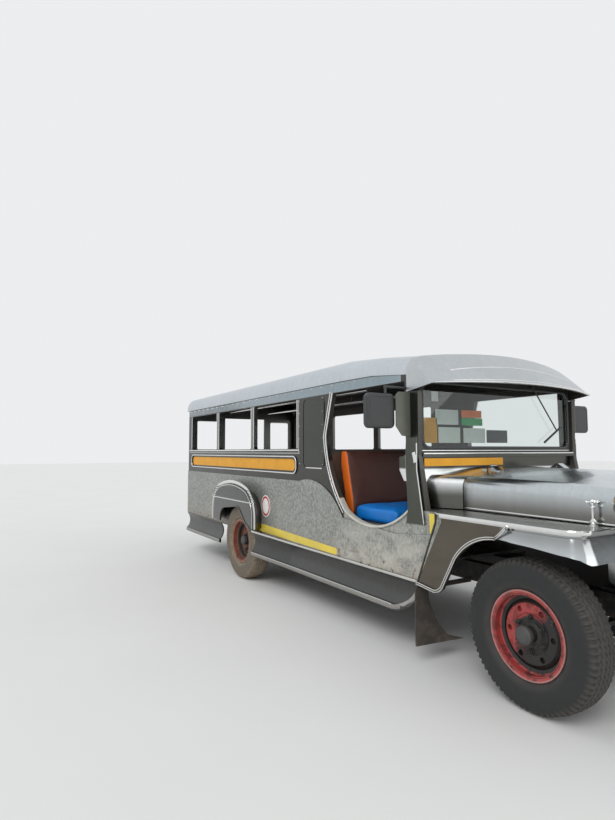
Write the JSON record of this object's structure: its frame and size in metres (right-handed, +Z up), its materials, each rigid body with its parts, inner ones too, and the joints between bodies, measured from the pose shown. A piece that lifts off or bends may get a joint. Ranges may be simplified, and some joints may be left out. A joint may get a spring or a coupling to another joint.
{
  "type": "jeepney",
  "caption": "Long-bodied passenger jeepney in stainless steel with open cab entries, side bench seats, a rear step, a bowed roof visor and an opening hood.",
  "frame": {"origin": "on the ground, midway between bumper face and rear step, on the centre plane", "axes": "+X to the front, +Y to the vehicle's left, +Z up"},
  "size_m": [6.4, 2.305, 2.0748],
  "materials": {
    "stainless": "brushed",
    "roof_paint": "satin",
    "visor_steel": "brushed",
    "chassis_paint": "matte",
    "engine_iron": "matte",
    "exhaust_steel": "matte",
    "chrome": "polished",
    "lens_glass": "clear",
    "window_glass": "clear",
    "lamp_red": "gloss",
    "floor_steel": "matte",
    "inner_panel": "satin",
    "blue_vinyl": "satin",
    "orange_vinyl": "satin",
    "black_plastic": "matte",
    "deflector": "satin",
    "flap_rubber": "matte",
    "tyre": "matte",
    "wheel_paint": "satin"
  },
  "bodies": {
    "body": {"body_side_left": "stainless", "body_side_right": "stainless", "cowl": "stainless", "front_fenders": "stainless", "rear_arches": "stainless", "rear_panel": "stainless", "side_skirts": "stainless", "grille": "stainless", "roof": "roof_paint", "roof_visor": "visor_steel", "chassis_rails": "chassis_paint", "crossmembers": "chassis_paint", "front_axle": "chassis_paint", "rear_axle": "chassis_paint", "leaf_springs": "chassis_paint", "propeller_shaft": "chassis_paint", "fuel_tank": "chassis_paint", "engine_block": "engine_iron", "exhaust": "exhaust_steel", "headlamps": "chrome", "front_bumper": "chrome", "ceiling_rails": "chrome", "headlamp_lenses": "lens_glass", "windscreen_glass": "window_glass", "tail_lamps": "lamp_red", "body_floor": "floor_steel", "rear_step": "floor_steel", "cab_partition": "inner_panel", "bench_frames": "inner_panel", "windscreen_frame": "inner_panel", "front_seat_cushion": "blue_vinyl", "bench_cushions": "blue_vinyl", "front_seat_back": "orange_vinyl", "side_mirrors": "black_plastic", "steering_column": "black_plastic", "wiper": "black_plastic", "wind_deflectors": "deflector", "mud_flaps": "flap_rubber"},
    "hood": {"hood": "stainless"},
    "knuckle_left": {"steering_knuckle_left": "chassis_paint"},
    "knuckle_right": {"steering_knuckle_right": "chassis_paint"},
    "wheel_front_left": {"tyre_front_left": "tyre", "wheel_front_left": "wheel_paint"},
    "wheel_front_right": {"tyre_front_right": "tyre", "wheel_front_right": "wheel_paint"},
    "wheel_rear_left": {"tyre_rear_left": "tyre", "wheel_rear_left": "wheel_paint"},
    "wheel_rear_right": {"tyre_rear_right": "tyre", "wheel_rear_right": "wheel_paint"},
    "steering": {"steering_wheel": "black_plastic"}
  },
  "joints": [
    {"name": "hood_hinge", "type": "hinge", "parent": "body", "child": "hood", "pos_m": [1.833, 0, 1.208], "axis": [0, -1, 0], "range_deg": [0, 55]},
    {"name": "steer_left", "type": "hinge", "parent": "body", "child": "knuckle_left", "pos_m": [2.42, 0.6, 0.38], "axis": [0, 0, 1], "range_deg": [-30, 30]},
    {"name": "steer_right", "type": "hinge", "parent": "body", "child": "knuckle_right", "pos_m": [2.42, -0.6, 0.38], "axis": [0, 0, 1], "range_deg": [-30, 30]},
    {"name": "steering_wheel_turn", "type": "hinge", "parent": "body", "child": "steering", "pos_m": [1.23, 0.42, 1.17], "axis": [-0.7986, 0, 0.6018], "range_deg": [-420, 420]},
    {"name": "spin_front_left", "type": "hinge", "parent": "knuckle_left", "child": "wheel_front_left", "pos_m": [2.42, 0.74, 0.38], "axis": [0, 1, 0], "continuous": true},
    {"name": "spin_front_right", "type": "hinge", "parent": "knuckle_right", "child": "wheel_front_right", "pos_m": [2.42, -0.74, 0.38], "axis": [0, 1, 0], "continuous": true},
    {"name": "spin_rear_left", "type": "hinge", "parent": "body", "child": "wheel_rear_left", "pos_m": [-1.03, 0.8, 0.38], "axis": [0, 1, 0], "continuous": true},
    {"name": "spin_rear_right", "type": "hinge", "parent": "body", "child": "wheel_rear_right", "pos_m": [-1.03, -0.8, 0.38], "axis": [0, 1, 0], "continuous": true}
  ],
  "couplings": [
    {"joint": "steer_right", "follows": "steer_left", "ratio": 1},
    {"joint": "steering_wheel_turn", "follows": "steer_left", "ratio": 14}
  ]
}
